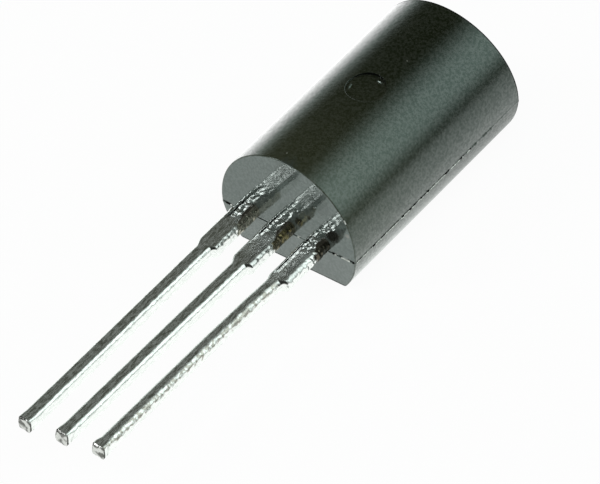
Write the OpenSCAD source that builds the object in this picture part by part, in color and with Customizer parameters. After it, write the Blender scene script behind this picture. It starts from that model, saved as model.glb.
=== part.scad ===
// Long-bodied TO-92 transistor, lying on the flat front face of its moulding.
// Millimetres. X runs across the row of leads, +Y from the leads to the body, +Z up.
// The origin is on the flat face, at mid-length of the body and in line with the centre lead.

/* [Moulding] */
// Diameter of the round back
body_d = 4.8; // [4.6:0.05:5.1]
// Length of the body along the leads, at the parting plane
body_len = 8; // [7.6:0.1:8.4]
// Height of the round back's centre line above the flat front face
back_centre_h = 1.5; // [1.35:0.05:1.7]
// Height of the parting plane and of the leads' undersides above the flat front face
parting_h = 1.25; // [1.1:0.05:1.35]
// Draft of both end faces, away from the parting plane, in degrees
end_draft = 3; // [1:0.5:5]
// Width of the break along each long edge of the flat face
corner_break = 0.12; // [0.06:0.02:0.2]
// Distance by which the moulding sits to the right of the centre lead
body_offset = 0.12; // [0:0.02:0.2]
// Diameter of the mark that the ejector pin leaves on the back
pin_mark_d = 1.25; // [0.9:0.05:1.5]
// Depth of the ejector pin's mark below the crest of the back
pin_mark_depth = 0.1; // [0.06:0.02:0.2]

/* [Leads] */
// Distance between the centre lines of neighbouring leads
lead_pitch = 1.27; // [1.15:0.01:1.35]
// Thickness of the tinned strip that the leads are stamped from
lead_t = 0.44; // [0.36:0.02:0.5]
// Length of the left lead outside the body
lead_len = 10.2; // [6:0.1:14.5]
// Length by which each lead is cut shorter than the one to its left
tip_step = 0.17; // [0:0.01:0.3]
// Width of the shank, from the shoulder to the tip
shank_w = 0.46; // [0.4:0.02:0.54]
// Width of the shoulder next to the body
shoulder_w = 0.68; // [0.6:0.02:0.8]
// Length of the shoulder outside the body, with its taper
shoulder_len = 2; // [1.5:0.1:2.3]
// Length of the taper between shoulder and shank
taper_len = 0.14; // [0.08:0.02:0.3]
// Radius along the long edges of a lead
edge_r = 0.18; // [0.08:0.01:0.2]

/* [Inner lead frame] */
// Distance that an outer lead reaches into the body
post_reach = 2; // [1.6:0.05:2.1]
// Length of the bonding pad at the inner end of an outer lead
post_len = 0.8; // [0.6:0.05:1]
// Width of that bonding pad
post_w = 0.95; // [0.7:0.05:1.05]
// Gap between the bonding pads and the paddle that carries the die
paddle_gap = 0.35; // [0.25:0.05:0.5]
// Length of the paddle
paddle_len = 2.8; // [2.4:0.1:3.2]
// Width of the paddle
paddle_w = 2.6; // [2.2:0.1:3]
// Diameter of the hole that locks the paddle into the moulding
lock_hole_d = 0.8; // [0.5:0.1:1]
// Distance from the paddle's far edge to the centre of that hole
lock_hole_inset = 0.7; // [0.6:0.05:0.8]

/* [Die and bond wires] */
// Side of the square die
die_side = 0.9; // [0.6:0.05:1]
// Thickness of the die
die_t = 0.22; // [0.15:0.01:0.3]
// Distance from the paddle's near edge to the die
die_inset = 0.35; // [0.2:0.05:0.5]
// Thickness of the solder layer under the die
solder_t = 0.03; // [0.02:0.01:0.06]
// Width of solder that shows round the die
solder_margin = 0.05; // [0.02:0.01:0.1]
// Distance of each bonded spot from the die's middle, across the leads
bond_x = 0.2; // [0.1:0.02:0.22]
// Distance of both bonded spots from the die's middle, towards the leads
bond_y = 0.15; // [0:0.02:0.2]
// Diameter of a bond wire
wire_d = 0.05; // [0.02:0.005:0.05]
// Height of a wire's loop above the line between its ends
loop_h = 0.45; // [0.3:0.05:0.7]
// Diameter of the ball at the die end of a wire
ball_d = 0.13; // [0.1:0.01:0.16]
// Thickness of that ball
ball_t = 0.04; // [0.03:0.005:0.05]
// Diameter of the flattened stitch at the lead end of a wire
stitch_d = 0.14; // [0.1:0.01:0.18]
// Thickness of that stitch
stitch_t = 0.03; // [0.03:0.005:0.04]

/* [Hidden] */
$fn = 96;
cut = 1; // how far a cutting solid runs past the surface that it cuts
body_r = body_d / 2;
body_h = back_centre_h + body_r;
lead_end = -body_len / 2;
flat_half_w = sqrt(pow(body_r, 2) - pow(back_centre_h, 2));
lead_top = parting_h + lead_t;
bar_r = min(edge_r, 0.45 * lead_t);
paddle_y = lead_end + post_reach + paddle_gap;
die_y = paddle_y + die_inset + die_side / 2;
die_bottom = lead_top + solder_t;
die_top = die_bottom + die_t;
black = [0.06, 0.06, 0.06];
tin = [0.66, 0.67, 0.68];

// ---- the moulding ----

// Side view: the two end faces lean inwards above and below the parting plane.
function side_outline() =
    let (
        slope = tan(end_draft),
        low_set = slope * parting_h,
        high_set = slope * (body_h - parting_h),
        far_end = -lead_end
    )
    [
        [lead_end + low_set, 0],
        [far_end - low_set, 0],
        [far_end, parting_h],
        [far_end - high_set, body_h],
        [lead_end + high_set, body_h],
        [lead_end, parting_h]
    ];

// End view, without the round back: the break at each corner of the flat face
// leans half as much as the round back does where it would meet the flat face.
function end_outline() =
    let (
        lean = acos(back_centre_h / body_r) / 2,
        flat_end = flat_half_w - corner_break,
        side = body_r + cut,
        rise = (side - flat_end) * tan(lean)
    )
    [
        [-flat_end, 0],
        [flat_end, 0],
        [side, rise],
        [side, body_h + cut],
        [-side, body_h + cut],
        [-side, rise]
    ];

module round_back() {
    translate([0, lead_end - cut, back_centre_h])
        rotate([-90, 0, 0])
            cylinder(d = body_d, h = body_len + 2 * cut);
}

module drafted_ends() {
    rotate([90, 0, 90])
        translate([0, 0, -body_r - cut])
            linear_extrude(body_d + 2 * cut)
                polygon(side_outline());
}

module flat_and_breaks() {
    translate([0, -lead_end + cut, 0])
        rotate([90, 0, 0])
            linear_extrude(body_len + 2 * cut)
                polygon(end_outline());
}

module pin_mark() {
    translate([0, 0, body_h - pin_mark_depth])
        cylinder(d = pin_mark_d, h = pin_mark_depth + cut);
}

module moulding() {
    translate([body_offset, 0, 0])
        difference() {
            intersection() {
                round_back();
                drafted_ends();
                flat_and_breaks();
            }
            pin_mark();
        }
}

// The resin fills everything between the pieces that it was moulded round.
module body() {
    color(black)
        difference() {
            moulding();
            left_lead();
            centre_lead();
            right_lead();
            die_solder();
            die();
            left_bond_wire();
            right_bond_wire();
        }
}

// ---- the leads ----

// A straight bar of the strip with rounded long edges, from y_from to y_to.
module bar(width, y_from, y_to) {
    length = y_to - y_from;
    flat_w = width - 2 * bar_r;
    flat_t = lead_t - 2 * bar_r;
    translate([0, y_from, parting_h + lead_t / 2]) {
        translate([-width / 2, 0, -flat_t / 2])
            cube([width, length, flat_t]);
        translate([-flat_w / 2, 0, -lead_t / 2])
            cube([flat_w, length, lead_t]);
        for (x = [-flat_w / 2, flat_w / 2], z = [-flat_t / 2, flat_t / 2])
            translate([x, 0, z])
                rotate([-90, 0, 0])
                    cylinder(r = bar_r, h = length);
    }
}

// A sharp-edged plate stamped from the strip, from y_from to y_to.
module plate(width, y_from, y_to) {
    translate([-width / 2, y_from, parting_h])
        cube([width, y_to - y_from, lead_t]);
}

// The shoulder narrows to the shank in plan, outside the body.
module shoulder(y_to) {
    y_from = lead_end - shoulder_len;
    full = shoulder_w / 2;
    narrow = shank_w / 2;
    intersection() {
        bar(shoulder_w, y_from, y_to);
        translate([0, 0, parting_h - cut])
            linear_extrude(lead_t + 2 * cut)
                polygon([
                    [-narrow, y_from],
                    [narrow, y_from],
                    [full, y_from + taper_len],
                    [full, y_to],
                    [-full, y_to],
                    [-full, y_from + taper_len]
                ]);
    }
}

// The lead of one position in the row (-1 left, 0 centre, 1 right), as far as y_to inside the body.
module outer_lead(position, y_to) {
    tip = lead_end - lead_len + (position + 1) * tip_step;
    bar(shank_w, tip, lead_end);
    shoulder(y_to);
}

// An outer lead ends in a pad that takes one bond wire.
module side_lead(position) {
    pad_end = lead_end + post_reach;
    pad_start = pad_end - post_len;
    color(tin)
        translate([position * lead_pitch, 0, 0]) {
            outer_lead(position, pad_start + post_len / 2);
            plate(post_w, pad_start, pad_end);
        }
}

module left_lead() {
    side_lead(-1);
}

module right_lead() {
    side_lead(1);
}

// The centre lead widens to the paddle that carries the die.
module centre_lead() {
    paddle_end = paddle_y + paddle_len;
    color(tin)
        difference() {
            union() {
                outer_lead(0, paddle_y + die_inset);
                plate(paddle_w, paddle_y, paddle_end);
            }
            translate([0, paddle_end - lock_hole_inset, parting_h - cut])
                cylinder(d = lock_hole_d, h = lead_t + 2 * cut);
        }
}

// ---- the die and its wires ----

// A square slab centred on the die's place, from z_from upwards.
module slab(side, z_from, thickness) {
    translate([-side / 2, die_y - side / 2, z_from])
        cube([side, side, thickness]);
}

module die_solder() {
    color("silver")
        slab(die_side + 2 * solder_margin, lead_top, solder_t);
}

module die() {
    color("slategray")
        slab(die_side, die_bottom, die_t);
}

// A wire rises from its ball on the die and comes down in a round loop to its stitch on the lead.
module bond_wire(position) {
    ball = [position * bond_x, die_y - bond_y, die_top];
    stitch = [position * lead_pitch, lead_end + post_reach - post_len / 2, lead_top];
    across = stitch.x - ball.x;
    along = stitch.y - ball.y;
    run = norm([across, along]);
    drop = die_top - lead_top;
    chord = norm([run, drop]);
    half_angle = 2 * atan(2 * loop_h / chord);
    loop_r = chord / 2 / sin(half_angle);
    color("gold") {
        translate(ball)
            cylinder(d = ball_d, h = ball_t);
        translate(stitch)
            cylinder(d = stitch_d, h = stitch_t);
        translate([ball.x, ball.y, ball.z + wire_d / 2])
            rotate([0, 0, atan2(along, across)])
                rotate([0, atan2(drop, run), 0])
                    translate([chord / 2, 0, loop_h - loop_r])
                        rotate([90, half_angle - 90, 0])
                            rotate_extrude(angle = 2 * half_angle)
                                translate([loop_r, 0])
                                    circle(d = wire_d);
    }
}

module left_bond_wire() {
    bond_wire(-1);
}

module right_bond_wire() {
    bond_wire(1);
}

body();
left_lead();
centre_lead();
right_lead();
die_solder();
die();
left_bond_wire();
right_bond_wire();
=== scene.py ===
import math
from collections import namedtuple
import bmesh
import bpy
from mathutils import Matrix, Vector, noise


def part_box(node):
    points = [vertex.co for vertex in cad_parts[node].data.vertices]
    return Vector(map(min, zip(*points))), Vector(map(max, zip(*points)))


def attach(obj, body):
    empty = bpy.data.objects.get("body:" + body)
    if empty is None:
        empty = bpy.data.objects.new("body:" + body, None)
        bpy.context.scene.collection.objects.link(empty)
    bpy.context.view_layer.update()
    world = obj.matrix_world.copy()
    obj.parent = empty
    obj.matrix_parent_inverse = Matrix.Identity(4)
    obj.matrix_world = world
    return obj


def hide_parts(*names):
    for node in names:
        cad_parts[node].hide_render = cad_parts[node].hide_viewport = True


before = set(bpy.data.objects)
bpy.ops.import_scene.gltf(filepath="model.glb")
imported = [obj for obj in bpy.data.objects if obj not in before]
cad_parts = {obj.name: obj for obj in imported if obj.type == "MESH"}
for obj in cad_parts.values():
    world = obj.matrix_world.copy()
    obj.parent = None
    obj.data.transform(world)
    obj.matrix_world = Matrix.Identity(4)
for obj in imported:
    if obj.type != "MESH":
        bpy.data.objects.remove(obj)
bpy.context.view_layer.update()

MM = 0.001  # metres in a millimetre: everything below is in millimetres until it becomes a mesh

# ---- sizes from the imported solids


def box_mm(node):
    low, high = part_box(node)
    return low / MM, high / MM


body_low, body_high = box_mm("body")
BODY_X = (body_low.x + body_high.x) / 2
BODY_R = (body_high.x - body_low.x) / 2
BODY_H = body_high.z
AXIS_Z = BODY_H - BODY_R
LEAD_END = body_low.y
FAR_END = body_high.y
lead_low, lead_high = box_mm("left_lead")
PARTING_Z = lead_low.z
LEAD_T = lead_high.z - lead_low.z

# ---- details of the moulding
EPOXY, END_EPOXY, PAINTED_SHADE, TORN = range(4)  # its material slots; the third, dull black, holds painted shade

COLUMNS = 60  # cells across the end faces, and along each side of the patch round the pin's mark
SIDE_RINGS = 80  # rings from the patch to each end
CREST_HALF = 1.0  # half-width of that square patch ...
CREST_EDGE = math.acos(CREST_HALF / BODY_R)  # ... and the round back's angle at its border
# rows from the flat face round its corner, from there to the parting line, and on to the patch
CORNER_ROWS, LOW_ROWS, HIGH_ROWS = 7, 12, 44
RIM_STEPS = 4  # rings round the rim of an end face

END_DRAFT = math.tan(math.radians(3))  # lean of both end faces, away from the parting plane
CORNER_R = 0.13  # rounding where the flat face meets the round back
NEAR_RIM_R, FAR_RIM_R = 0.024, 0.007  # rounding along the rims of both end faces
SUPPORT = 0.012  # distance of the edge loops that hold a rounding in shape

FLASH_W = 0.09  # width of the resin flash along the parting line
# rows along the parting line: place across it in halves of that width, share of the flash's height
# there on the sides and on the end faces, and share of the seam's depth on the end faces
PARTING_ROWS = (
    (-1.15, 0.0, 0.0, 0.0),
    (-1.0, 0.0, 0.0, 0.0),
    (-0.75, 0.8, 1.0, 0.0),
    (-0.4, 1.0, 0.6, 0.0),
    (0.0, 1.0, 0.0, 1.0),
    (0.5, 0.9, 0.0, 1.0),
    (0.9, 0.6, 0.0, 0.0),
    (1.3, 0.0, 0.0, 0.0),
    (1.45, 0.0, 0.0, 0.0),
)
PARTING_REACH = 2.5  # the other rows keep this many halves away from the parting line
SIDE_FLASH, SIDE_BURST = 0.011, 0.045  # usual height of the flash and its extra height on the sides
END_FLASH, END_BURST = 0.0, 0.045  # the same on the end faces
SLOW_WAVES, FAST_WAVES, CHIP_WAVES = 0.7, 3.7, 9.0  # frequencies of the flash's height
SEAM_DEPTH = 0.022  # depth of the open seam above the flash on the end faces

CALM_Y = 1.6  # beyond this the parting line on the sides is whole
END_BREAKS = ((-2.3, -1.95), (0.36, 0.5), (1.64, 2.5))  # where the near end face has it broken
SIDE_SPLIT, END_SPLIT = 0.015, 0.005  # broken cells higher above the parting line are never torn
# noise beyond which cells get painted shade, above and below that height, and are torn, below it
SHADED_ABOVE, SHADED_BELOW, TORN_BELOW = -0.1, 0.3, -0.05
SHADED_NOISE, TORN_NOISE = (4.0, 31.0), (5.0, 37.0)  # frequency and seed of that noise
RIM_TEARS = ((2.62, 2.73),)  # heights of torn spots on the right of the near rim
LOWER_SHADE_H = 0.06  # height of the painted shade along the near end face's lower edge
# patches on the near end face: the dark ones are painted shade beside the leads' roots and beside
# their reflections, one is pale: place, radius, colour
PAINTED_PATCHES = (
    ((2.28, -3.95, 2.2), 0.1, (0.17, 0.15, 0.13)),
    ((1.7, -3.96, 1.94), 0.33, (0.006, 0.005, 0.003)),
    ((0.55, -3.96, 1.85), 0.2, (0.010, 0.008, 0.004)),
    ((0.93, -3.95, 2.2), 0.09, (0.004, 0.003, 0.002)),
    ((1.37, -3.93, 2.85), 0.45, (0.028, 0.035, 0.031)),
    ((0.2, -3.88, 3.6), 0.5, (0.035, 0.042, 0.037)),
)

PIN_R = 0.6  # ejector pin's mark on the back
PIN_SHIFT = (0.075, -0.09)  # distance of its middle from the body's
PIN_DEPTH = 0.1
PIN_LIP = (0.004, 0.018)  # least and greatest rounding along the mark's rim ...
PIN_WORN = math.radians(240)  # ... which is greatest in this direction
PIN_FOOT = 0.004  # rounding along its foot
LIP_STEPS, FOOT_STEPS = 2, 3  # cells across both roundings
# its rings, as shares of the way from its rim to the patch's border, and of its floor's radius
PIN_OUTER_RINGS = (0.72, 0.46, 0.24, 0.1, 0.03, 0.003)
PIN_FLOOR_RINGS = (0.96, 0.92, 0.88, 0.85, 0.82, 0.79, 0.76, 0.73, 0.7, 0.6, 0.4, 0.15)
# raised chips on its floor: x and y from its middle, direction in degrees, half-length,
# half-width, height
PIN_CHIPS = ((-0.465, -0.17, 100, 0.12, 0.03, 0.036), (0.18, 0.45, -6, 0.15, 0.028, 0.05))
CHIP_CLEARANCE = 0.002  # the floor stays this far below the mark's lip

# ---- mesh helpers


def add_object(name, data):
    made = bpy.data.objects.new(name, data)
    bpy.context.scene.collection.objects.link(made)
    return made


class Shell:
    """Vertices in millimetres and faces of one closed piece."""

    def __init__(self):
        self.vertices = []
        self.faces = []
        self.slots = {}  # material slots of the faces that don't have the first one

    def ring(self, points):
        start = len(self.vertices)
        self.vertices.extend(points)
        return list(range(start, len(self.vertices)))

    def face(self, corners, slot=0):
        if slot:
            self.slots[len(self.faces)] = slot
        self.faces.append(corners)

    def bridge(self, ring_a, ring_b, slot=0):
        """Quads between two closed rings."""
        count = len(ring_a)
        for i in range(count):
            j = (i + 1) % count
            self.face((ring_a[i], ring_a[j], ring_b[j], ring_b[i]), slot)

    def close(self, ring):
        """Triangles from a ring to its middle."""
        count = len(ring)
        centre = self.ring([middle_of([self.vertices[v] for v in ring])])[0]
        for i in range(count):
            self.face((ring[i], ring[(i + 1) % count], centre))

    def piece(self, name, *materials):
        """The finished Blender object, with all its faces turned outwards."""
        shape = bmesh.new()
        corners = [shape.verts.new(Vector(v) * MM) for v in self.vertices]
        for number, face in enumerate(self.faces):
            made = shape.faces.new([corners[v] for v in face])
            made.material_index = self.slots.get(number, 0)
        bmesh.ops.recalc_face_normals(shape, faces=shape.faces)
        for face in shape.faces:
            face.smooth = True
        mesh = bpy.data.meshes.new(name)
        shape.to_mesh(mesh)
        shape.free()
        for material in materials:
            mesh.materials.append(material)
        piece = add_object(name, mesh)
        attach(piece, "root")
        return piece


def middle_of(points):
    return [sum(p[i] for p in points) / len(points) for i in range(3)]


def spread(start, end, steps):
    return [start + (end - start) * i / steps for i in range(steps + 1)]


def smooth_step(low, high, value):
    """From 0 at low to 1 at high. Low may be the greater one."""
    t = max(0.0, min(1.0, (value - low) / (high - low)))
    return t * t * (3 - 2 * t)


def rough(x, y, z, frequency, seed=0.0):
    """Smooth noise from -1 to 1 at a place in millimetres."""
    return noise.noise(Vector((x * frequency + seed, y * frequency, z * frequency)))


# ---- the moulded body


# a point of the moulding's outline with its outward normal, and its shares of the parting line's
# relief: of the flash on the sides, of the flash on the end faces and of the seam
Entry = namedtuple("Entry", "x z nx nz flash")
Shares = namedtuple("Shares", "side end seam")


def back_entry(angle, flash=None):
    """An entry on the round back."""
    nx, nz = math.cos(angle), math.sin(angle)
    return Entry(BODY_R * nx, AXIS_Z + BODY_R * nz, nx, nz, flash)


def side_rows():
    """Entries of the outline's right half, from the flat face to the crest's patch."""
    fillet_x = math.sqrt((BODY_R - CORNER_R) ** 2 - (AXIS_Z - CORNER_R) ** 2)
    tangent = math.atan2(CORNER_R - AXIS_Z, fillet_x)
    rows = []
    for angle in spread(-math.pi / 2, tangent, CORNER_ROWS)[:-1]:
        nx, nz = math.cos(angle), math.sin(angle)
        rows.append(Entry(fillet_x + CORNER_R * nx, CORNER_R + CORNER_R * nz, nx, nz, None))
    half = FLASH_W / 2 / BODY_R
    parting = math.asin((PARTING_Z - AXIS_Z) / BODY_R)
    angles = [(a, None) for a in spread(tangent, parting - PARTING_REACH * half, LOW_ROWS)]
    angles += [(parting + half * place, Shares(*shares)) for place, *shares in PARTING_ROWS]
    angles += [(a, None) for a in spread(parting + PARTING_REACH * half, CREST_EDGE, HIGH_ROWS)]
    return rows + [back_entry(angle, flash) for angle, flash in angles]


def outline_ring(rows):
    """The whole outline: flat face, right rows, crest's patch, left rows."""
    flat_x = rows[0].x
    ring = [Entry(x, 0.0, 0.0, -1.0, None) for x in spread(-flat_x, flat_x, COLUMNS)]
    ring += rows[1:-1]
    ring += [back_entry(angle) for angle in spread(CREST_EDGE, math.pi - CREST_EDGE, COLUMNS)]
    ring += [entry._replace(x=-entry.x, nx=-entry.nx) for entry in reversed(rows[1:-1])]
    return ring


def end_offset(z):
    return END_DRAFT * abs(z - PARTING_Z)


def flash_height(place, seed, usual, burst):
    """Height of the flash at a place along the parting line: thin, with thicker stretches."""
    slow = noise.noise(Vector((place * SLOW_WAVES, seed, 0.0)))
    fast = noise.noise(Vector((place * FAST_WAVES, seed, 4.0)))
    chips = noise.noise(Vector((place * CHIP_WAVES, seed, 8.0)))
    thick = max(0.0, slow * 1.2 + fast * 0.9 + chips * 1.1 - 0.1)
    return usual * (0.9 + 0.6 * fast) + burst * min(thick, 1.0)


def side_flash(y, side):
    return flash_height(y, 1.0 + side, SIDE_FLASH, SIDE_BURST)


def end_relief(flash, x, end):
    """How far the parting line stands out of an end face: flash below it, a seam along it."""
    height = flash.end * flash_height(x, 5.0 + end, END_FLASH, END_BURST)
    return height - flash.seam * SEAM_DEPTH * (1 + 0.7 * rough(x, 0, 0, 5.0, end))


def parting_slot(entry_a, entry_b, place, seed, split, whole):
    """Material slot of a cell along the parting line where the resin is broken: dull black as
    painted shade in its gaps, or torn.
    Cells higher above the parting line than the split are never torn."""
    if not (entry_a.flash and entry_b.flash) or max(entry_a.flash.side, entry_b.flash.side) == 0:
        return whole
    above = (entry_a.z + entry_b.z) / 2 > PARTING_Z + split
    # dull black cells: painted shade in the gaps of the broken parting line
    if rough(place, seed, 0, *SHADED_NOISE) > (SHADED_ABOVE if above else SHADED_BELOW):
        return PAINTED_SHADE
    return TORN if not above and rough(place, seed, 1, *TORN_NOISE) > TORN_BELOW else whole


def rim_point(entry, inset, radius, end, out):
    """A vertex of the rim at one end, some distance out of the end face: end is -1 (leads) or 1."""
    x, z, nx, nz, flash = entry
    px, pz = x - nx * inset, z - nz * inset
    y = end * (FAR_END - end_offset(pz) - out)
    if flash:
        on_side = 1 - inset / radius if inset < radius else 0.0
        px += nx * flash.side * side_flash(y, nx) * on_side
        y += end * end_relief(flash, px, end) * (1 - on_side)
    return px + BODY_X, y, pz


def add_rim(shell, ring, end):
    """Rings from the end face's border to the side."""
    radius = NEAR_RIM_R if end < 0 else FAR_RIM_R
    made = [shell.ring(rim_point(e, radius + SUPPORT, radius, end, 0) for e in ring)]
    for a in spread(0, math.pi / 2, RIM_STEPS):
        inset, out = radius * (1 - math.sin(a)), radius * (1 - math.cos(a))
        made.append(shell.ring(rim_point(e, inset, radius, end, out) for e in ring))
    return made


def add_end_face(shell, border, rows, end):
    """Rows of cells from the flat side to the crest, inside the border ring."""
    top_row = len(rows) - 1
    grid = {}
    for column in range(COLUMNS + 1):
        grid[0, column] = border[column]
        grid[top_row, column] = border[2 * COLUMNS + top_row - column]
    for row in range(1, top_row):
        left = grid[row, 0] = border[2 * COLUMNS + 2 * top_row - row]
        right = grid[row, COLUMNS] = border[COLUMNS + row]
        x0, x1, z = shell.vertices[left][0], shell.vertices[right][0], shell.vertices[left][2]
        for column in range(1, COLUMNS):
            x = x0 + (x1 - x0) * column / COLUMNS
            y = FAR_END - end_offset(z)
            if rows[row].flash:
                y += end_relief(rows[row].flash, x - BODY_X, end)
            grid[row, column] = shell.ring([(x, end * y, z)])[0]

    def slot_of(row, column):
        x = shell.vertices[grid[row, column]][0]
        # painted shade: the lowest cells of the near end face are dull black
        if end < 0 and shell.vertices[grid[row + 1, column]][2] < LOWER_SHADE_H:
            return PAINTED_SHADE
        if end < 0 and any(low < x < high for low, high in END_BREAKS):
            return parting_slot(rows[row], rows[row + 1], x, 3.0, END_SPLIT, END_EPOXY)
        return END_EPOXY

    for row in range(top_row):
        for column in range(COLUMNS):
            shell.face((grid[row, column], grid[row + 1, column],
                        grid[row + 1, column + 1], grid[row, column + 1]), slot_of(row, column))


def surface_z(x):
    return AXIS_Z + math.sqrt(BODY_R ** 2 - x ** 2)


def pin_lip(turn):
    """Rounding along the rim of the ejector pin's mark."""
    worn = 0.5 + 0.5 * math.cos(turn - PIN_WORN)
    return PIN_LIP[0] + (PIN_LIP[1] - PIN_LIP[0]) * worn ** 2


def pin_chips(x, y):
    """Height of the chips on the mark's floor."""
    height = 0.0
    for at_x, at_y, degrees, half_length, half_width, rise in PIN_CHIPS:
        a = math.radians(degrees)
        along = (x - at_x) * math.cos(a) + (y - at_y) * math.sin(a)
        aside = (y - at_y) * math.cos(a) - (x - at_x) * math.sin(a)
        height += rise * math.exp(-(along / half_length) ** 2 - (aside / half_width) ** 2)
    return height


def pin_point(x, y, z=None):
    """A point of the mark, x and y from its middle. Without z, it lies on the round back."""
    across = x + PIN_SHIFT[0]
    return across + BODY_X, y + PIN_SHIFT[1], surface_z(across) if z is None else z


def add_pin_mark(shell, border):
    """The patch on the crest narrows to a circle, and the circle drops to a flat floor."""
    corners = []
    for v in border:
        x, y, _ = shell.vertices[v]
        corners.append((x - BODY_X - PIN_SHIFT[0], y - PIN_SHIFT[1]))
    turns = [math.atan2(y, x) for x, y in corners]
    floor_z = BODY_H - PIN_DEPTH

    def outer(turn, corner, t):
        edge = (PIN_R + pin_lip(turn)) * (1 - t)
        x, y = corner
        return pin_point(edge * math.cos(turn) + x * t, edge * math.sin(turn) + y * t)

    def lip(turn, a):
        radius = PIN_R + pin_lip(turn) * (1 - math.sin(a))
        x, y = radius * math.cos(turn), radius * math.sin(turn)
        return pin_point(x, y, pin_point(x, y)[2] - pin_lip(turn) * (1 - math.cos(a)))

    def floor(turn, radius, height):
        x, y = radius * math.cos(turn), radius * math.sin(turn)
        rim_z = pin_point(PIN_R * math.cos(turn), PIN_R * math.sin(turn))[2]
        top = rim_z - 1.2 * pin_lip(turn) - CHIP_CLEARANCE
        return pin_point(x, y, min(floor_z + height + pin_chips(x, y), top))

    rings = [border]
    for t in PIN_OUTER_RINGS:
        rings.append(shell.ring([outer(turn, c, t) for turn, c in zip(turns, corners)]))
    for a in spread(0, math.pi / 2, LIP_STEPS):
        rings.append(shell.ring([lip(turn, a) for turn in turns]))
    wall = len(rings) - 1
    foot = [(PIN_R - PIN_FOOT * (1 - math.cos(a)), PIN_FOOT * (1 - math.sin(a)))
            for a in spread(0, math.pi / 2, FOOT_STEPS)]
    foot += [(PIN_R * share, 0.0) for share in PIN_FLOOR_RINGS]
    for radius, height in foot:
        rings.append(shell.ring([floor(turn, radius, height) for turn in turns]))
    # painted shade in the recess: the mark's wall is dull black
    for number, (ring_a, ring_b) in enumerate(zip(rings, rings[1:])):
        shell.bridge(ring_a, ring_b, PAINTED_SHADE if number == wall else EPOXY)
    shell.close(rings[-1])


def build_body(*materials):
    rows = side_rows()
    ring = outline_ring(rows)
    size = len(ring)
    shell = Shell()
    # the sides: rings evenly spaced, with square cells round the ejector pin's mark
    patch = CREST_HALF / (FAR_END - end_offset(BODY_H) - NEAR_RIM_R - SUPPORT)
    shares = spread(-1, -patch, SIDE_RINGS) + spread(-patch, patch, COLUMNS)[1:]
    shares += spread(patch, 1, SIDE_RINGS)[1:]
    near, far = add_rim(shell, ring, -1), add_rim(shell, ring, 1)
    strips = list(near)
    for share in shares:
        points = []
        for x, z, nx, nz, flash in ring:
            y = share * (FAR_END - end_offset(z) - NEAR_RIM_R - SUPPORT)
            height = flash.side * side_flash(y, nx) if flash else 0.0
            points.append((x + nx * height + BODY_X, y, z))
        strips.append(shell.ring(points))
    strips += far[::-1]
    far_rim = len(strips) - len(far) - 1

    def slot_of(strip, entry, following, y):
        # painted shade: the far rim is dull black all round
        if strip >= far_rim:
            return PAINTED_SHADE
        if 0 < strip < len(near) - 1:
            if entry.x > 0 and any(low < entry.z < high for low, high in RIM_TEARS):
                return TORN
            # painted shade: the near rim's cells along the flat face are dull black
            return PAINTED_SHADE if max(entry.z, following.z) < CORNER_R else EPOXY
        if strip > len(near) and y < CALM_Y:
            side = math.copysign(1, entry.x)
            return parting_slot(entry, following, y, side, SIDE_SPLIT, EPOXY)
        return EPOXY

    first_top = COLUMNS + len(rows) - 1
    patch_start = len(near) + SIDE_RINGS
    for s, (ring_a, ring_b) in enumerate(zip(strips, strips[1:])):
        in_patch = patch_start <= s < patch_start + COLUMNS
        for i in range(size):
            if in_patch and first_top <= i < first_top + COLUMNS:
                continue
            j = (i + 1) % size
            slot = slot_of(s, ring[i], ring[j], shell.vertices[ring_a[i]][1])
            shell.face((ring_a[i], ring_a[j], ring_b[j], ring_b[i]), slot)
    add_end_face(shell, near[0], rows, -1)
    add_end_face(shell, far[0], rows, 1)

    def patch_vertex(row, column):
        return strips[patch_start + row][first_top + column]

    n = COLUMNS
    border = [patch_vertex(0, c) for c in range(n)] + [patch_vertex(r, n) for r in range(n)]
    border += [patch_vertex(n, n - c) for c in range(n)]
    border += [patch_vertex(n - r, 0) for r in range(n)]
    add_pin_mark(shell, border)
    body = shell.piece("moulded_body", *materials)
    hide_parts("body")


# ---- details of the leads
PITCH = 1.27  # from lead to lead
SHANK_HALF = 0.23
LEFT_TAPER = (1.82, 2.2)  # the shoulder narrows gently on its left side ...
RIGHT_TAPER = (1.93, 2.05)  # ... and in a step on its right side
STUB, STUB_START = 0.02, (1.6, 1.9)  # just before the step, the right side widens by this much
# the shears narrowed the right sides by this much, between these distances from the tip
TIP_PINCH, PINCH_REACH = 0.03, (0.35, 0.05)
# rounding of the long edges at the tip and inside the body, and where it changes near the tip
TIP_EDGE_R, PAD_EDGE_R, EDGE_REACH = 0.08, 0.02, (0.45, 0.15)
# the lumps next to the body fade between these distances from it, by these shares
ROOT_FADES = ((0.48, 1.04, 0.88), (1.28, 1.6, 0.12))
IN_BODY = (-0.1, 0.0)  # the lumps and the groove fade between these too, inside the body
WIDEST_POST = 0.6  # half-width that tells the outer leads' pads from the paddle
POST_START, PADDLE_START = 1.2, 2.35  # where the pads and the paddle start inside the body
PAD_STEP = 0.02  # length of the step to them
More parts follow.
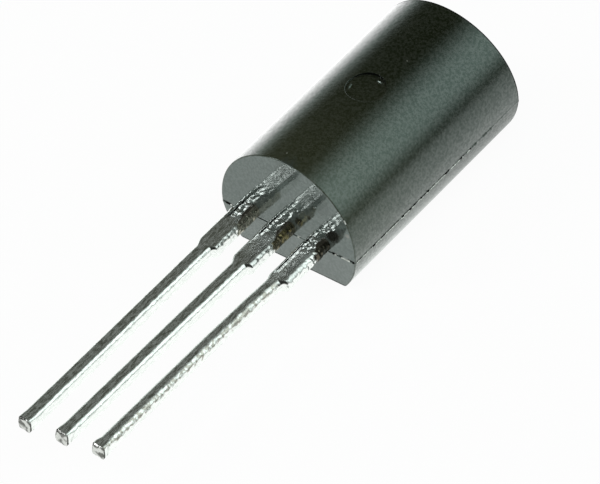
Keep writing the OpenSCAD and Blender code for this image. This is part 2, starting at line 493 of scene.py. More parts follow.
# seed of its roughness, half-widths of the shoulder to the left and right, length of the groove
# along its upper left edge and its distance from the left side, rounding of its long edges, dents
# on its right side, and how far its centre line has moved sideways at some distances from the body
Lead = namedtuple("Lead", "seed shoulder groove edge_r dents line")
LEADS = {
    "left_lead": Lead(
        seed=3.0, shoulder=(0.35, 0.34), groove=(0.75, 0.185), edge_r=0.12, dents=0.014,
        line=[(0, 0), (1.8, 0), (2.4, -0.025), (6, -0.028), (10.2, -0.04)]),
    "centre_lead": Lead(
        seed=11.0, shoulder=(0.385, 0.355), groove=(0.9, 0.14), edge_r=0.14, dents=0.014,
        line=[(0, 0), (1.8, -0.01), (2.4, -0.035), (4.5, -0.07), (10.2, -0.125)]),
    "right_lead": Lead(
        seed=23.0, shoulder=(0.365, 0.36), groove=(1.85, 0.15), edge_r=0.19, dents=0.022,
        line=[(0, 0), (1.8, 0), (2.15, -0.07), (3, -0.125), (5, -0.175), (10.2, -0.235)]),
}
# the groove: widths of its steep left wall and its gentle right one, depth, length of its end, and
# frequency and share of the changes in its depth
GROOVE_STEEP, GROOVE_GENTLE, GROOVE_DEPTH, GROOVE_FADE = 0.022, 0.11, 0.02, 0.15
GROOVE_WAVES = (4.0, 0.6)
# lumps all along a lead and at its root: frequency and height
LUMPS = ((5.0, 0.003), (13.0, 0.0022))
ROOT_LUMPS = ((4.0, 0.014), (12.0, 0.014))
DENT_WAVES = 9.0  # frequency of the dents
TIP_LEN = 0.09  # distance from the tip to the first whole section
TIP_FACE = 0.02  # distance from the tip to the middle of the sheared face
TIP_BURR, TIP_ROUNDING = 0.03, 0.06  # how far its burr stands out and its top is rounded back
# heights and places across the face between which both set in
BURR_UP, BURR_ACROSS = (0.02, -0.16), (-0.05, 0.16)
ROUNDED_UP, ROUNDED_ACROSS = (-0.02, 0.2), (0.1, -0.05)
ROUNDED_RIM = (0.75, 1.0)  # the same for the rounding, as shares of the section
TORN_UP = (0.05, -0.12)  # heights between which the face turns torn
# frequency and height of its waves and of its grain, and the extra height of torn grain
TIP_WAVES, TIP_GRAIN, TORN_GRAIN = (4.0, 0.02), (9.0, 0.004), 0.02
# rings over the sheared face and over the inner end, as shares of the section
TIP_RINGS = (0.1, 0.22, 0.34, 0.46, 0.58, 0.7, 0.8, 0.88, 0.95, 0.985)
INNER_RINGS = (0.97, 0.7, 0.35)
INNER_GAP = 0.01  # distance from the last whole section to the inner end
FINE_STEP, COARSE_STEP = 0.02, 0.03  # between rings along a lead
FINE_TIP, FINE_ROOT = 0.5, (-0.05, 2.4)  # where they are close together
ARC_STEPS, WIDE_STEPS, TALL_STEPS = 12, 14, 4  # cells round a long edge, and across both sides


def rounded_rectangle(left, right, thickness, radius):
    """Points and outward normals round a lead's section, from its right side over the top."""
    half_t = thickness / 2
    centres = [(right - radius, half_t - radius), (radius - left, half_t - radius)]
    centres += [(radius - left, radius - half_t), (right - radius, radius - half_t)]
    points = []
    for k, (cx, cz) in enumerate(centres):
        start, across = 90 * k, WIDE_STEPS if k % 2 == 0 else TALL_STEPS
        for degrees in spread(start, start + 90, ARC_STEPS):
            a = math.radians(degrees)
            nx, nz = math.cos(a), math.sin(a)
            points.append((cx + radius * nx, cz + radius * nz, nx, nz))
        x, z, nx, nz = points[-1]
        next_x, next_z = centres[(k + 1) % 4]
        to_x, to_z = next_x + radius * nx, next_z + radius * nz
        for i in range(1, across):
            t = i / across
            points.append((x + (to_x - x) * t, z + (to_z - z) * t, nx, nz))
    return points


def between(knots, place):
    """Straight lines through knots of (place, value)."""
    for (x0, y0), (x1, y1) in zip(knots, knots[1:]):
        if place <= x1:
            t = max(0.0, (place - x0) / (x1 - x0))
            return y0 + (y1 - y0) * t
    return knots[-1][1]


def lead_stations(tip, far):
    """Places of the rings: close together at the tip, the taper and the root."""
    places, y = [], tip
    while y < far:
        places.append(y)
        out = LEAD_END - y
        fine = y < tip + FINE_TIP or FINE_ROOT[0] < out < FINE_ROOT[1]
        y += FINE_STEP if fine else COARSE_STEP
    return places


def root_share(out):
    """Share of the root's lumps at a distance from the body."""
    share = 1 - sum(part * smooth_step(start, end, out) for start, end, part in ROOT_FADES)
    return share * smooth_step(*IN_BODY, out)


def lumps(x, y, z, waves, seed):
    return sum(height * rough(x, y, z, frequency, seed) for frequency, height in waves)


def build_lead(node, material):
    seed, shoulder, (groove_len, groove_in), edge_r, dents, line = LEADS[node]
    low, high = box_mm(node)
    axis_x = (low.x + high.x) / 2
    tip = low.y
    mid_z = PARTING_Z + LEAD_T / 2
    pad_half = (high.x - low.x) / 2
    pad_start = LEAD_END + (POST_START if pad_half < WIDEST_POST else PADDLE_START)
    shell = Shell()

    def half_widths(y, out, inside):
        """Half-widths to the left and right of the centre line."""
        stub = STUB * smooth_step(*STUB_START, out)
        left, right = shoulder[0], shoulder[1] + stub
        left += (SHANK_HALF - left) * smooth_step(*LEFT_TAPER, out)
        right += (SHANK_HALF - right) * smooth_step(*RIGHT_TAPER, out)
        left += (pad_half - left) * inside
        right += (pad_half - right) * inside
        return left, right - TIP_PINCH * smooth_step(*PINCH_REACH, y - tip)

    def section(y):
        out = LEAD_END - y
        inside = smooth_step(pad_start - PAD_STEP, pad_start, y)
        left, right = half_widths(y, out, inside)
        pinched = smooth_step(*EDGE_REACH, y - tip)
        outer_r = edge_r + (TIP_EDGE_R - edge_r) * pinched
        radius = outer_r * (1 - inside) + PAD_EDGE_R * inside
        shift = between(line, out)
        root = root_share(out)
        groove = 1 - smooth_step(groove_len - GROOVE_FADE, groove_len, out)
        groove *= smooth_step(*IN_BODY, out)
        frequency, uneven = GROOVE_WAVES
        groove *= GROOVE_DEPTH * (1 + uneven * rough(0, y, 0, frequency, seed))
        made = []
        for x, z, nx, nz in rounded_rectangle(left, right, LEAD_T, radius):
            bump = lumps(x, y, z, LUMPS, seed)
            if root:
                bump += root * lumps(x, y, z, ROOT_LUMPS, seed)
            if nx > 0:
                bump += dents * nx * rough(x, y, z, DENT_WAVES, seed + 1)
            if groove and nz > 0:
                beside = x + left - groove_in
                beside /= GROOVE_GENTLE if beside > 0 else -GROOVE_STEEP
                bump -= groove * max(0.0, 1 - beside)
            made.append((axis_x + x + shift + nx * bump, y, mid_z + z + nz * bump))
        return made

    def scaled(point, middle, share):
        return [middle[i] + (point[i] - middle[i]) * share for i in (0, 2)]

    def tip_point(point, share, middle):
        """The sheared end: rounded over at its top, torn below, with a burr at its lower right."""
        x, z = scaled(point, middle, share)
        across, up = x - middle[0], z - mid_z
        grain = TIP_GRAIN[1] + TORN_GRAIN * smooth_step(*TORN_UP, up)
        waves = TIP_WAVES[1] * rough(x, 0, z, TIP_WAVES[0], seed)
        y = tip + TIP_FACE + waves + grain * rough(x, 1, z, TIP_GRAIN[0], seed)
        burr = smooth_step(*BURR_UP, up) * smooth_step(*BURR_ACROSS, across)
        rounding = smooth_step(*ROUNDED_RIM, share) * smooth_step(*ROUNDED_UP, up)
        rounding *= smooth_step(*ROUNDED_ACROSS, across)
        return x, max(y - TIP_BURR * burr + TIP_ROUNDING * rounding, tip), z

    places = lead_stations(tip + TIP_LEN, high.y - INNER_GAP)
    first, last = section(places[0]), section(places[-1])
    middle = middle_of(first)
    rings = [shell.ring(tip_point(p, share, middle) for p in first) for share in TIP_RINGS]
    rings += [shell.ring(section(y)) for y in places]
    middle = middle_of(last)
    for share in INNER_RINGS:
        flat = (scaled(p, middle, share) for p in last)
        rings.append(shell.ring((x, high.y, z) for x, z in flat))
    for ring_a, ring_b in zip(rings, rings[1:]):
        shell.bridge(ring_a, ring_b)
    shell.close(rings[0])
    shell.close(rings[-1])
    lead = shell.piece("tinned_" + node, material)
    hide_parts(node)


# ---- materials
EPOXY_SHINE = (0.68, 1.0, 0.9, 1)  # tint of the reflections below the coat
DUST = (0.16, 0.16, 0.14, 1)
SEAM_SHADE = (0.002, 0.002, 0.0015, 1)  # painted shade in the open seam along the parting line
NEAR_LIGHT_REACH = (1.2 * LEAD_END * MM, 0.5 * FAR_END * MM)  # the painted light thins out from here to there

# colours of the leads
TIN_DARK, TIN_PALE = (0.86, 0.88, 0.86, 1), (0.98, 0.98, 0.97, 1)
SHADED_TOP = (0.70, 0.71, 0.70, 1)
LEFT_STAIN, CENTRE_STAIN = (0.42, 0.40, 0.33, 1), (0.16, 0.14, 0.09, 1)
RIGHT_STAIN = (0.09, 0.08, 0.06, 1)
# the darkest colour is the stains' edge and also painted shade on the leads' lower sides
GOLD_STAIN, EDGE_STAIN_AND_SHADE = (0.50, 0.41, 0.19, 1), (0.05, 0.047, 0.036, 1)
LINE_BLACK = (0.012, 0.012, 0.010, 1)
DENT_GREY = (0.46, 0.44, 0.40, 1)
STEP_DARK = (0.07, 0.07, 0.065, 1)
BARE_DARK, BARE_PALE = (0.14, 0.14, 0.13, 1), (0.66, 0.66, 0.64, 1)
OUTLINE_DARK = (0.08, 0.08, 0.075, 1)
LINE_IN = (0.165, 0.245, 0.215)  # distance of the groove's black line from the middle of each lead
TIPS = (9.6, 9.75)  # the tips start between these distances from the body
STREAK_STRETCH = (1.0, 0.22, 1.0)  # draws the streaks out along the leads


class Nodes:
    """Short calls that add shader nodes and link them."""

    def __init__(self, tree):
        self.tree = tree

    def add(self, kind, inputs=None, **settings):
        node = self.tree.nodes.new(kind)
        for key, value in settings.items():
            setattr(node, key, value)
        for key, value in (inputs or {}).items():
            self.feed(node.inputs[key], value)
        return node

    def feed(self, socket, value):
        """Links another node's output to a socket, or sets the socket's own value."""
        if hasattr(value, "links"):
            self.tree.links.new(value, socket)
        else:
            socket.default_value = value

    def math(self, operation, *values):
        return self.add("ShaderNodeMath", dict(enumerate(values)), operation=operation).outputs[0]

    def in_mm(self, value):
        return self.math("MULTIPLY", value, 1 / MM)

    def in_degrees(self, value):
        return self.math("MULTIPLY", value, 180 / math.pi)

    def apart(self, a, b):
        """Distance between two numbers."""
        return self.math("ABSOLUTE", self.math("SUBTRACT", a, b))

    def product(self, value, *others):
        for other in others:
            value = self.math("MULTIPLY", value, other)
        return value

    def ramp(self, value, low, high, to_low=0.0, to_high=1.0):
        """Smooth step from to_low to to_high as value goes from low to high."""
        values = {"Value": value, "From Min": low, "From Max": high}
        values.update({"To Min": to_low, "To Max": to_high})
        node = self.add("ShaderNodeMapRange", values, interpolation_type="SMOOTHSTEP")
        return node.outputs["Result"]

    def fall(self, value, low, high):
        """Smooth step from 1 down to 0."""
        return self.ramp(value, low, high, 1.0, 0.0)

    def mix(self, factor, a, b):
        node = self.add("ShaderNodeMix", data_type="RGBA")
        for name, value in (("Factor", factor), ("A", a), ("B", b)):
            socket = [s for s in node.inputs if s.name == name and s.enabled][0]
            self.feed(socket, value)
        return [s for s in node.outputs if s.enabled][0]

    def noise(self, vector, scale, detail=2.0, roughness=0.5):
        """Noise from 0 to 1. Its scale is per millimetre."""
        values = {"Vector": vector, "Scale": scale / MM, "Detail": detail, "Roughness": roughness}
        return self.add("ShaderNodeTexNoise", values).outputs["Fac"]

    def vector_math(self, operation, a, b):
        return self.add("ShaderNodeVectorMath", {0: a, 1: b}, operation=operation)

    def distance(self, a, b):
        return self.vector_math("DISTANCE", a, b).outputs["Value"]

    def axes(self, vector):
        parts = self.add("ShaderNodeSeparateXYZ", {"Vector": vector})
        return [parts.outputs[k] for k in "XYZ"]

    def azimuth(self, x, y):
        return self.in_degrees(self.math("ARCTAN2", y, x))

    def near_left_back(self, azimuth):
        """1 round the azimuth where the paper and the tent are bright down to the horizon."""
        away = self.apart(azimuth, LEFT_BACK)
        away = self.math("MINIMUM", away, self.math("SUBTRACT", 360.0, away))
        return self.fall(away, *LEFT_BACK_REACH)

    def angle_from(self, direction, axis):
        """Degrees between a direction and an axis."""
        dot = self.vector_math("DOT_PRODUCT", direction, axis)
        return self.in_degrees(self.math("ARCCOSINE", dot.outputs["Value"]))


def new_material(name):
    material = bpy.data.materials.new(name)
    material.use_nodes = True
    nodes = Nodes(material.node_tree)
    shader = material.node_tree.nodes["Principled BSDF"]
    place = nodes.add("ShaderNodeTexCoord").outputs["Object"]
    return material, nodes, shader, place


def finish_shader(nodes, shader, values):
    for name, value in values.items():
        nodes.feed(shader.inputs[name], value)


def epoxy_material(name, dark, pale, near_end_light, gloss, coat_weight, coat_roughness, relief):
    """Glossy black epoxy: faint mottling from dark to pale, a fine grain and a few specks of dust.
    Painted light makes it paler towards the near end."""
    material, nodes, shader, place = new_material(name)
    grain = nodes.noise(place, 11.0, 4.0, 0.8)
    fine = nodes.noise(place, 6.0, 4.0, 0.7)
    _, y, z = nodes.axes(place)
    # painted light: the colour is paler towards the near end
    near_end = nodes.fall(y, *NEAR_LIGHT_REACH)
    shades = []
    for tint in (dark, pale):
        lit_tint = [c + h for c, h in zip(tint, near_end_light)]
        shades.append(nodes.mix(near_end, (*tint, 1), (*lit_tint, 1)))
    colour = nodes.mix(nodes.ramp(grain, 0.42, 0.58), *shades)
    dots = nodes.add("ShaderNodeTexVoronoi", {"Vector": place, "Scale": 0.9 / MM})
    colour = nodes.mix(nodes.fall(dots.outputs["Distance"], 0.012, 0.03), colour, DUST)
    # painted shade: a dark gap along the parting line
    gap = nodes.fall(nodes.apart(nodes.in_mm(z), PARTING_Z), 0.008, 0.016)
    colour = nodes.mix(nodes.product(gap, nodes.ramp(fine, 0.4, 0.5)), colour, SEAM_SHADE)
    # painted shade patches with ragged borders
    for middle, radius, tint in PAINTED_PATCHES:
        away = nodes.distance(place, [c * MM for c in middle])
        ragged = nodes.product(nodes.math("SUBTRACT", fine, 0.5), radius * MM)
        away = nodes.math("ADD", away, ragged)
        painted_patch = nodes.ramp(away, 0.5 * radius * MM, radius * MM, 0.9, 0.0)
        colour = nodes.mix(painted_patch, colour, (*tint, 1))
    bump = {"Height": fine, "Strength": relief, "Distance": 0.02 * MM}
    normal = nodes.add("ShaderNodeBump", bump).outputs["Normal"]
    finish_shader(nodes, shader, {
        "Base Color": colour,
        "Roughness": nodes.ramp(grain, 0.3, 0.7, *gloss),
        "IOR": 1.5,
        "Specular Tint": EPOXY_SHINE,
        "Coat Weight": nodes.ramp(grain, 0.44, 0.56, *coat_weight),
        "Coat Roughness": coat_roughness,
        "Coat IOR": 1.5,
        "Sheen Weight": 0.12,
        "Sheen Roughness": 0.35,
        "Normal": normal,
        "Coat Normal": normal,
    })
    return material


def dull_material(name, dark, pale):
    """Epoxy that doesn't shine: black for painted shade, or pale where it's torn."""
    material, nodes, shader, place = new_material(name)
    grain = nodes.ramp(nodes.noise(place, 20.0, 2.0), 0.3, 0.7)
    finish_shader(nodes, shader, {
        "Base Color": nodes.mix(grain, (*dark, 1), (*pale, 1)),
        "Roughness": 0.7,
        "Specular IOR Level": 0.1,
    })
    return material


class LeadPlace:
    """Shader values that say where on a lead a point is, in millimetres, and how it faces."""

    def __init__(self, nodes, place):
        self.nx, self.ny, self.nz = nodes.axes(nodes.add("ShaderNodeNewGeometry").outputs["Normal"])
        x, y, _ = nodes.axes(place)
        self.across = nodes.in_mm(x)
        # distance from the body
        self.out = nodes.math("SUBTRACT", LEAD_END, nodes.in_mm(y))
        # distance from the middle of the lead, the same for all three
        shifted = nodes.math("ADD", self.across, PITCH / 2)
        cell = nodes.math("FLOORED_MODULO", shifted, PITCH)
        self.own = nodes.math("SUBTRACT", cell, PITCH / 2)


def shaded_tops(nodes, at):
    """The tops of the centre and right shoulders are a little darker."""
    along = nodes.product(nodes.ramp(at.out, 0.9, 1.2), nodes.fall(at.out, 1.8, 2.2))
    return nodes.product(along, nodes.ramp(at.own, -0.1, 0.1), nodes.ramp(at.nz, 0.3, 0.6),
                         nodes.ramp(at.across, -0.7, -0.4))


def stains(nodes, at, cloudy, fine):
    """Brown stains on the right side and the upper right edge, darkest on that edge and on the
    right lead, with painted shade on the lower side that faces down: their mask, the share of
    darkest edge and painted shade in them, and their colour."""
    wander = nodes.math("SUBTRACT", fine, 0.5)
    late = nodes.math("ADD", at.out, nodes.ramp(at.across, 0.5, 1.1, 0.0, 0.2))
    start = nodes.ramp(late, 0.4, 0.85, 0.09, 0.24)
    start = nodes.math("ADD", start, nodes.math("MULTIPLY", wander, 0.12))
    reach = nodes.ramp(at.across, 0.4, 0.8, 1.0, 0.68)
    reach = nodes.math("ADD", nodes.math("MULTIPLY", wander, 0.6), reach)
    stain = nodes.product(nodes.ramp(nodes.math("SUBTRACT", at.own, start), 0.0, 0.03),
                          nodes.ramp(nodes.math("SUBTRACT", reach, at.out), 0.0, 0.1))
    brown = nodes.mix(nodes.ramp(at.across, -0.8, -0.4), LEFT_STAIN, CENTRE_STAIN)
    brown = nodes.mix(nodes.ramp(at.across, 0.4, 0.8), brown, RIGHT_STAIN)
    on_centre = nodes.fall(nodes.math("ABSOLUTE", at.across), 0.5, 0.8)
    in_middle = nodes.fall(nodes.apart(at.out, 0.35), 0.1, 0.3)
    gold = nodes.product(nodes.ramp(cloudy, 0.44, 0.56), on_centre, in_middle)
    brown = nodes.mix(gold, brown, GOLD_STAIN)
    # darkest parts: the stains' upper right edge, random patches, and painted shade on the lower
    # side facing down
    edge = nodes.math("MAXIMUM", nodes.fall(at.own, 0.2, 0.3), nodes.fall(at.nz, -0.5, -0.15))
    edge = nodes.math("MAXIMUM", edge, nodes.ramp(fine, 0.36, 0.48, 0.8, 0.0))
    return stain, edge, nodes.mix(edge, brown, EDGE_STAIN_AND_SHADE)


def groove_line(nodes, at, fine):
    """A black line in the groove along the upper left edge, longest on the right lead."""
    left, centre, right = LINE_IN
    line_in = nodes.math("SUBTRACT", nodes.ramp(at.across, -0.7, -0.5, left, centre),
                         nodes.ramp(at.across, 0.5, 0.7, 0.0, centre - right))
    away = nodes.math("ABSOLUTE", nodes.math("ADD", at.own, line_in))
    ending = nodes.math("SUBTRACT", at.out, nodes.ramp(at.across, 0.5, 0.7, 0.0, 0.9))
    return nodes.product(nodes.fall(away, 0.014, 0.034), nodes.fall(ending, 0.7, 0.9),
                         nodes.ramp(at.nz, 0.2, 0.4), nodes.ramp(fine, 0.3, 0.42))


def dented_edge(nodes, at, beads):
    """The upper right edge of the right lead is dented and dull."""
    edge = nodes.product(nodes.ramp(at.nx, 0.25, 0.45), nodes.fall(at.nx, 0.93, 0.98),
                         nodes.ramp(at.nz, 0.1, 0.2))
    return nodes.product(edge, nodes.ramp(at.across, 0.6, 0.8), nodes.ramp(at.out, 1.9, 2.3),
                         nodes.ramp(beads, 0.44, 0.56, 1.0, 0.2))


def shoulder_step(nodes, at):
    """The step at the end of the shoulder is dark."""
    facing = nodes.product(nodes.fall(at.ny, -0.4, -0.2), nodes.ramp(at.nx, 0.1, 0.3),
                           nodes.ramp(at.nz, 0.1, 0.3))
    return nodes.product(facing, nodes.ramp(at.out, 1.8, 1.9), nodes.fall(at.out, 2.1, 2.3))


def sheared_tips(nodes, at, fine):
    """The sheared faces, and the dark outline round them, which is broken at the upper left."""
    at_tip = nodes.ramp(at.out, *TIPS)
    cut = nodes.product(at_tip, nodes.fall(at.ny, -0.75, -0.45))
    broken = nodes.math("MAXIMUM", nodes.ramp(fine, 0.46, 0.5), nodes.fall(at.nz, 0.2, 0.4))
    turned = nodes.product(nodes.fall(at.ny, -0.35, -0.15), nodes.ramp(at.ny, -0.95, -0.8))
    return cut, nodes.product(at_tip, turned, broken)


def tin_material():
    """Dull bright tin with streaks, lumpy and shiny next to the body."""
    material, nodes, shader, place = new_material("tinned_lead")
    at = LeadPlace(nodes, place)
    cloudy = nodes.noise(place, 3.0, 3.0, 0.6)
    grain = nodes.noise(place, 18.0, 3.0, 0.7)
    fine = nodes.noise(place, 5.0, 1.0, 0.5)
    beads = nodes.noise(place, 8.0, 1.0, 0.5)
    stretched = nodes.vector_math("MULTIPLY", place, STREAK_STRETCH).outputs["Vector"]
    streaks = nodes.noise(stretched, 16.0, 4.0, 0.75)
    stain, edge, brown = stains(nodes, at, cloudy, fine)
    cut, outline = sheared_tips(nodes, at, fine)
    colour = nodes.mix(nodes.ramp(streaks, 0.35, 0.65), TIN_DARK, TIN_PALE)
    for mask, tint in (
        (shaded_tops(nodes, at), SHADED_TOP),
        (stain, brown),
        (groove_line(nodes, at, fine), LINE_BLACK),
        (dented_edge(nodes, at, beads), DENT_GREY),
        (shoulder_step(nodes, at), STEP_DARK),
        (cut, nodes.mix(nodes.ramp(fine, 0.40, 0.60), BARE_DARK, BARE_PALE)),
        (outline, OUTLINE_DARK),
    ):
        colour = nodes.mix(mask, colour, tint)
    root = nodes.fall(at.out, 0.5, 1.2)
    dull = nodes.ramp(streaks, 0.38, 0.62, 0.78, 0.97)
    # less metallic where the stains are darkest and where shade is painted on the lower side
    edge_metallic = nodes.ramp(nodes.product(stain, edge), 0.0, 1.0, 0.97, 0.4)
    smooth = nodes.ramp(cloudy, 0.3, 0.7, 0.15, 0.25)
    strength = nodes.ramp(at.out, 0.8, 2.0, 0.3, 0.5)
    bump = {"Height": grain, "Strength": strength, "Distance": 0.011 * MM}
    finish_shader(nodes, shader, {
        "Base Color": colour,
        "Metallic": nodes.math("MINIMUM", edge_metallic, nodes.math("MAXIMUM", dull, root)),
        "Roughness": nodes.product(smooth, nodes.ramp(root, 0.0, 1.0, 1.0, 0.6)),
        "Normal": nodes.add("ShaderNodeBump", bump).outputs["Normal"],
    })
    return material


def inner_material(name, colour, metallic, roughness):
    material, nodes, shader, place = new_material(name)
    dark = [c * 0.8 for c in colour]
    finish_shader(nodes, shader, {
        "Base Color": nodes.mix(nodes.noise(place, 20.0, 2.0), (*dark, 1), (*colour, 1)),
        "Metallic": metallic,
        "Roughness": roughness,
    })
    return material


def dress_inner_pieces():
    finishes = {
        "die_solder": inner_material("solder", (0.6, 0.6, 0.6), 1.0, 0.35),
        "die": inner_material("silicon", (0.22, 0.24, 0.28), 0.6, 0.15),
        "left_bond_wire": inner_material("gold", (0.9, 0.68, 0.3), 1.0, 0.2),
    }
    finishes["right_bond_wire"] = finishes["left_bond_wire"]
    for node, material in finishes.items():
        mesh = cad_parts[node].data
        mesh.materials.clear()
        mesh.materials.append(material)


# ---- floor, light and camera
LEFT_BACK, LEFT_BACK_REACH = 148.0, (34.0, 52.0)  # azimuth of the bright left back, and its border

PAPER_HALF = 6000.0  # half-width of the white paper
PAPER_MIDDLE = (0, -4.0 * MM, 0)
PAPER_NEAR = 10.0  # from there, the paper looks white in reflections as far as this ...
PAPER_REACH = 45.0  # ... and half as bright this much further
PAPER_FRONT, PAPER_FRONT_LEVEL = (-30.0 * MM, -22.0 * MM), 0.1  # it's dark in front of this
PAPER_TINT = (1.11, 1.15, 1.12, 1)  # its colour in reflections
# the same at the left back, near and far
LEFT_GLOW, LEFT_FAR_GLOW = (1.65, 1.65, 1.65, 1), (0.8, 0.8, 0.8, 1)
PAPER_GLOW = 0.95  # share of the paper that looks the same in any light
SHADE_START, SHADE_REACH, SHADE_DEPTH = 1.9, 1.8, 0.5  # the darker paper beside the moulding

BLACK, WHITE = (0, 0, 0, 1), (1, 1, 1, 1)
TENT_DARK = (0.03, 0.034, 0.022, 1)
TENT = 1.6  # brightness of its bright parts
TENT_BRIGHT = (TENT * 0.92, TENT * 1.04, TENT, 1)
LEFT_BACK_TENT = (0.75, 0.75, 0.75, 1)  # level of the tent at the left back
# elevations between which the tent's level rises, and both levels
BACK_RISE, FRONT_RISE = (-1.0, 26.0, 0.12, 1.0), (12.0, 24.0, 0.03, 1.0)
FRONT_START = (-0.35, -0.1)  # along Y
# the tent's darker spots: azimuth and elevation of the middle, angles from it between which the
# spot ends, and the level inside it
OPENING = ((150, 52), (28.0, 70.0), 0.0)
DIM_SIDE = ((-42, 25), (42.0, 64.0), 0.25)
ABOVE_KEY = ((-136, 52), (20.0, 36.0), 0.1)


def build_floor():
    """White paper. Its far parts look darker in reflections, except at the left back."""
    mesh = bpy.data.meshes.new("floor")
    half = PAPER_HALF * MM
    corners = [(-half, -half, 0.0), (half, -half, 0.0), (half, half, 0.0), (-half, half, 0.0)]
    mesh.from_pydata(corners, [], [(0, 1, 2, 3)])
    material = bpy.data.materials.new("floor")
    material.use_nodes = True
    tree = material.node_tree
    tree.nodes.clear()
    nodes = Nodes(tree)
    path = nodes.add("ShaderNodeLightPath")
    place = nodes.add("ShaderNodeNewGeometry").outputs["Position"]
    x, y, _ = nodes.axes(place)
    away = nodes.distance(place, PAPER_MIDDLE)
    away = nodes.math("MAXIMUM", nodes.math("SUBTRACT", away, PAPER_NEAR * MM), 0.0)
    far = nodes.math("DIVIDE", away, PAPER_REACH * MM)
    falling = nodes.math("DIVIDE", 1.0, nodes.math("ADD", far, 1.0))
    falling = nodes.product(falling, nodes.ramp(y, *PAPER_FRONT, PAPER_FRONT_LEVEL, 1.0))
    # it's darker beside the moulding, the more so towards its far end
    beside = nodes.math("SUBTRACT", nodes.apart(x, BODY_X * MM), SHADE_START * MM)
    beyond = nodes.math("SUBTRACT", nodes.math("ABSOLUTE", y), FAR_END * MM)
    outside = nodes.math("MAXIMUM", beside, beyond)
    shade = nodes.product(nodes.fall(outside, 0.0, SHADE_REACH * MM),
                          nodes.ramp(y, LEAD_END * MM, FAR_END * MM, 0.0, SHADE_DEPTH))
    falling = nodes.product(falling, nodes.math("SUBTRACT", 1.0, shade))
    right_level = nodes.mix(falling, BLACK, PAPER_TINT)
    left_level = nodes.mix(falling, LEFT_FAR_GLOW, LEFT_GLOW)
    level = nodes.mix(nodes.near_left_back(nodes.azimuth(x, y)), right_level, left_level)
    level = nodes.mix(path.outputs["Is Glossy Ray"], WHITE, level)
    seen = nodes.math("MAXIMUM", path.outputs["Is Camera Ray"], path.outputs["Is Glossy Ray"])
    white = nodes.add("ShaderNodeEmission", {"Color": level, "Strength": 1.0})
    paper = nodes.add("ShaderNodeBsdfDiffuse", {"Color": (0.92, 0.92, 0.92, 1)})
    share = nodes.math("MULTIPLY", seen, PAPER_GLOW)
    mixed = nodes.add("ShaderNodeMixShader", {0: share, 1: paper.outputs[0], 2: white.outputs[0]})
    nodes.add("ShaderNodeOutputMaterial", {"Surface": mixed.outputs[0]})
    mesh.materials.append(material)
    add_object("floor", mesh)


def towards(azimuth, elevation):
    """Unit vector: azimuth counts from +X towards +Y, in degrees."""
    a, e = math.radians(azimuth), math.radians(elevation)
    return Vector((math.cos(e) * math.cos(a), math.cos(e) * math.sin(a), math.sin(e)))


def build_world():
    """A bright tent with a dark opening high at the left back and a dim side at the front right."""
    world = bpy.data.worlds.new("studio")
    bpy.context.scene.world = world
    world.use_nodes = True
    tree = world.node_tree
    tree.nodes.clear()
    nodes = Nodes(tree)
    direction = nodes.add("ShaderNodeTexCoord").outputs["Generated"]
    x, y, z = nodes.axes(direction)
    elevation = nodes.in_degrees(nodes.math("ARCSINE", z))
    # the tent's level rises from the horizon, later in front and not at all at the left back
    level = nodes.mix(nodes.fall(y, *FRONT_START), nodes.ramp(elevation, *BACK_RISE),
                      nodes.ramp(elevation, *FRONT_RISE))
    level = nodes.mix(nodes.near_left_back(nodes.azimuth(x, y)), level, LEFT_BACK_TENT)
    for middle, border, inside in (OPENING, DIM_SIDE, ABOVE_KEY):
        away = nodes.angle_from(direction, towards(*middle))
        level = nodes.product(level, nodes.ramp(away, *border, inside, 1.0))
    tent = nodes.mix(level, TENT_DARK, TENT_BRIGHT)
    path = nodes.add("ShaderNodeLightPath")
    colour = nodes.mix(path.outputs["Is Camera Ray"], tent, WHITE)
    background = nodes.add("ShaderNodeBackground", {"Color": colour, "Strength": 1.0})
    nodes.add("ShaderNodeOutputWorld", {"Surface": background.outputs[0]})


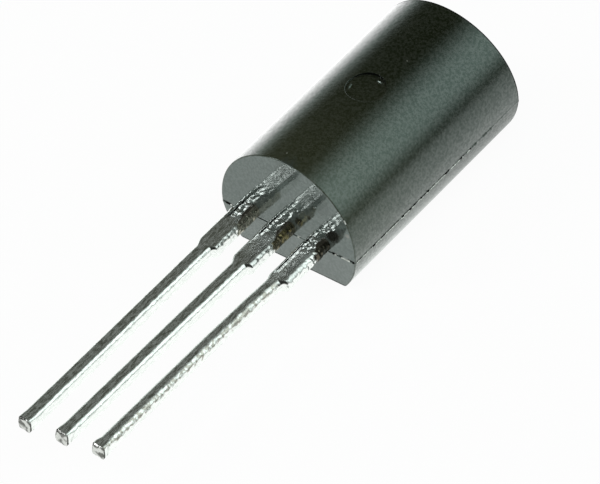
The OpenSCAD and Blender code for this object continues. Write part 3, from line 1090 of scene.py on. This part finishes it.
def area_lamp(name, direction, distance, width, power, glossy=True):
    lamp = bpy.data.lights.new(name, "AREA")
    lamp.shape = "DISK"
    lamp.size = width * MM
    lamp.energy = power
    holder = add_object(name, lamp)
    holder.location = direction * distance * MM
    holder.rotation_euler = (-direction).to_track_quat("-Z", "Y").to_euler()
    holder.visible_camera = False
    holder.visible_glossy = glossy


def build_camera():
    """The camera that was fitted to the photo."""
    azimuth, elevation, roll = (math.radians(angle) for angle in (41.426, 44.544, -6.137))
    target = Vector((0.810, -4.329, 1.5))
    distance = 150.0
    focal = 316.43  # on a 36 mm sensor
    back = Vector((math.sin(azimuth) * math.cos(elevation),
                   -math.cos(azimuth) * math.cos(elevation), math.sin(elevation)))
    level_right = Vector((math.cos(azimuth), math.sin(azimuth), 0))
    level_up = back.cross(level_right)
    right = level_right * math.cos(roll) + level_up * math.sin(roll)
    up = -level_right * math.sin(roll) + level_up * math.cos(roll)
    camera = bpy.data.cameras.new("camera")
    camera.sensor_width = 36
    camera.lens = focal
    camera.clip_start = 1 * MM
    camera.clip_end = 10000 * MM
    holder = add_object("camera", camera)
    matrix = Matrix((right, up, back)).transposed().to_4x4()
    matrix.translation = (target + back * distance) * MM
    holder.matrix_world = matrix
    bpy.context.scene.camera = holder


build_body(
    epoxy_material(
        "epoxy", dark=(0.005, 0.007, 0.002), pale=(0.019, 0.021, 0.015), near_end_light=(0.02, 0.02, 0.012),
        gloss=(0.14, 0.24), coat_weight=(0.42, 1.0), coat_roughness=0.14, relief=0.24),
    epoxy_material(
        "epoxy_end", dark=(0.052, 0.064, 0.058), pale=(0.080, 0.093, 0.087), near_end_light=(0, 0, 0),
        gloss=(0.05, 0.08), coat_weight=(0.8, 1.0), coat_roughness=0.07, relief=0.035),
    dull_material("epoxy_painted_shade", dark=(0.0005, 0.0005, 0.0003), pale=(0.003, 0.003, 0.002)),
    dull_material("epoxy_torn", dark=(0.45, 0.46, 0.43), pale=(0.90, 0.91, 0.87)),
)
tin = tin_material()
for node in LEADS:
    build_lead(node, tin)
dress_inner_pieces()
build_floor()
build_world()
area_lamp("key", towards(-139, 34), distance=300, width=80, power=0.16)
area_lamp("fill", towards(-90, 70), distance=400, width=360, power=0.5, glossy=False)
build_camera()
bpy.context.scene.view_settings.view_transform = "Standard"
